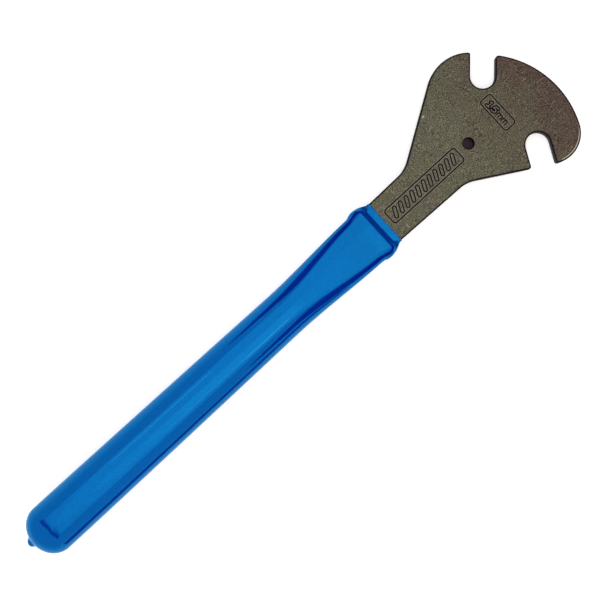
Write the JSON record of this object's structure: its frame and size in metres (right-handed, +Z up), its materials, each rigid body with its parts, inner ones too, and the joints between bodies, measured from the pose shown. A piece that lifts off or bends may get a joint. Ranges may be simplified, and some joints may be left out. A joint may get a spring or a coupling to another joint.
{
  "type": "pedal wrench",
  "caption": "Long pedal wrench: a flat steel head with open jaws at its front and underside, a hang hole, and a round dipped vinyl handle.",
  "frame": {"origin": "middle of the bounding box's base, on the surface that the wrench lies on", "axes": "+X along the handle towards the head, +Y across the head towards the horn of the front jaw, +Z up out of the marked face, which tilts 3.1 degrees down towards the nose"},
  "size_m": [0.42, 0.0936, 0.0408],
  "materials": {
    "oiled_black_steel": "satin, oil-blackened, with a fine mottled grain",
    "bare_steel": "bare drawn tube, covered by the grip",
    "black_plastic": "moulded, covered by the grip",
    "blue_vinyl": "smooth glossy dipped vinyl"
  },
  "bodies": {
    "root": {"head_plate": "oiled_black_steel", "handle_tube": "bare_steel", "end_plug": "black_plastic", "grip": "blue_vinyl"}
  },
  "joints": []
}
